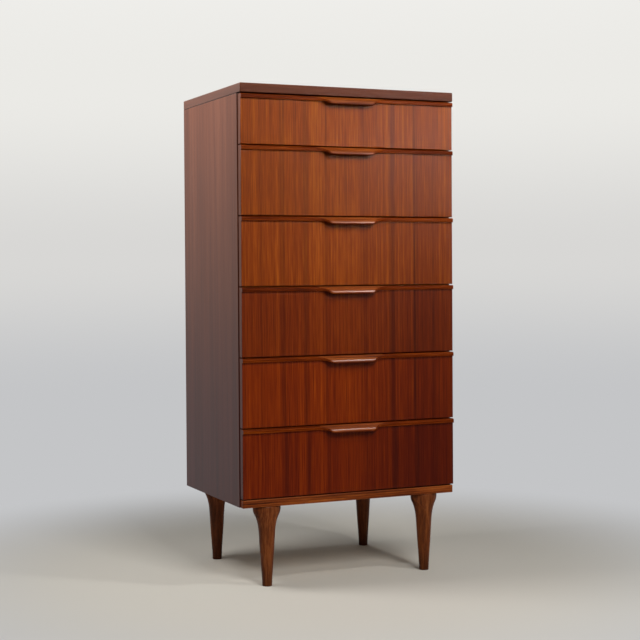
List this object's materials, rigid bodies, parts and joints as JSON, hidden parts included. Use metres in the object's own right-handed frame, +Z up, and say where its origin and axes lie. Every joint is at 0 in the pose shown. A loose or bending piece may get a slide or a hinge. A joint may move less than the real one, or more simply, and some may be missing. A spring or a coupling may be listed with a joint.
{
  "type": "tallboy chest of drawers",
  "caption": "Tall narrow chest of stacked drawers, each front topped by a lip rail with a sculpted centre pull, on flared and tapered legs.",
  "frame": {"origin": "on the floor, under the middle of the chest's outline, the pulls included", "axes": "+X to the right of someone facing the drawers, +Y to the back, +Z up; the drawers open along -Y"},
  "size_m": [0.61, 0.456, 1.281],
  "materials": {
    "case_veneer": "satin lacquered veneer, brown with a pinkish grey sheen",
    "front_veneer": "satin lacquered veneer, orange brown, upright leaves",
    "solid_teak": "satin lacquered solid wood, orange brown, grain along its length",
    "leg_wood": "satin lacquered solid wood, grain up the leg",
    "drawer_wood": "pale sealed hardwood",
    "runner_wood": "waxed pale hardwood",
    "inner_board": "plain board, unfinished",
    "inner_rail": "plain softwood, unfinished",
    "thin_board": "thin plywood, matt",
    "zinc_steel": "dull zinc plate"
  },
  "bodies": {
    "carcass": {"top_slab": "case_veneer", "side_panel_left": "case_veneer", "side_panel_right": "case_veneer", "bottom_panel": "inner_board", "bottom_front_rail": "solid_teak", "back_panel": "thin_board", "top_rail_front": "inner_rail", "top_rail_rear": "inner_rail", "middle_rail": "inner_rail", "legs_front": "leg_wood", "legs_rear": "leg_wood", "leg_bolts": "zinc_steel", "leg_washers": "zinc_steel", "leg_nuts": "zinc_steel", "drawer_1_runners": "runner_wood", "drawer_2_runners": "runner_wood", "drawer_3_runners": "runner_wood", "drawer_4_runners": "runner_wood", "drawer_5_runners": "runner_wood", "drawer_6_runners": "runner_wood"},
    "drawer_1": {"drawer_1_front": "front_veneer", "drawer_1_lip": "solid_teak", "drawer_1_side_left": "drawer_wood", "drawer_1_side_right": "drawer_wood", "drawer_1_back": "drawer_wood", "drawer_1_bottom": "thin_board"},
    "drawer_2": {"drawer_2_front": "front_veneer", "drawer_2_lip": "solid_teak", "drawer_2_side_left": "drawer_wood", "drawer_2_side_right": "drawer_wood", "drawer_2_back": "drawer_wood", "drawer_2_bottom": "thin_board"},
    "drawer_3": {"drawer_3_front": "front_veneer", "drawer_3_lip": "solid_teak", "drawer_3_side_left": "drawer_wood", "drawer_3_side_right": "drawer_wood", "drawer_3_back": "drawer_wood", "drawer_3_bottom": "thin_board"},
    "drawer_4": {"drawer_4_front": "front_veneer", "drawer_4_lip": "solid_teak", "drawer_4_side_left": "drawer_wood", "drawer_4_side_right": "drawer_wood", "drawer_4_back": "drawer_wood", "drawer_4_bottom": "thin_board"},
    "drawer_5": {"drawer_5_front": "front_veneer", "drawer_5_lip": "solid_teak", "drawer_5_side_left": "drawer_wood", "drawer_5_side_right": "drawer_wood", "drawer_5_back": "drawer_wood", "drawer_5_bottom": "thin_board"},
    "drawer_6": {"drawer_6_front": "front_veneer", "drawer_6_lip": "solid_teak", "drawer_6_side_left": "drawer_wood", "drawer_6_side_right": "drawer_wood", "drawer_6_back": "drawer_wood", "drawer_6_bottom": "thin_board"}
  },
  "joints": [
    {"name": "drawer_1_slide", "type": "slide", "parent": "carcass", "child": "drawer_1", "axis": [0, -1, 0], "range_m": [0, 0.3]},
    {"name": "drawer_2_slide", "type": "slide", "parent": "carcass", "child": "drawer_2", "axis": [0, -1, 0], "range_m": [0, 0.3]},
    {"name": "drawer_3_slide", "type": "slide", "parent": "carcass", "child": "drawer_3", "axis": [0, -1, 0], "range_m": [0, 0.3]},
    {"name": "drawer_4_slide", "type": "slide", "parent": "carcass", "child": "drawer_4", "axis": [0, -1, 0], "range_m": [0, 0.3]},
    {"name": "drawer_5_slide", "type": "slide", "parent": "carcass", "child": "drawer_5", "axis": [0, -1, 0], "range_m": [0, 0.3]},
    {"name": "drawer_6_slide", "type": "slide", "parent": "carcass", "child": "drawer_6", "axis": [0, -1, 0], "range_m": [0, 0.3]}
  ]
}
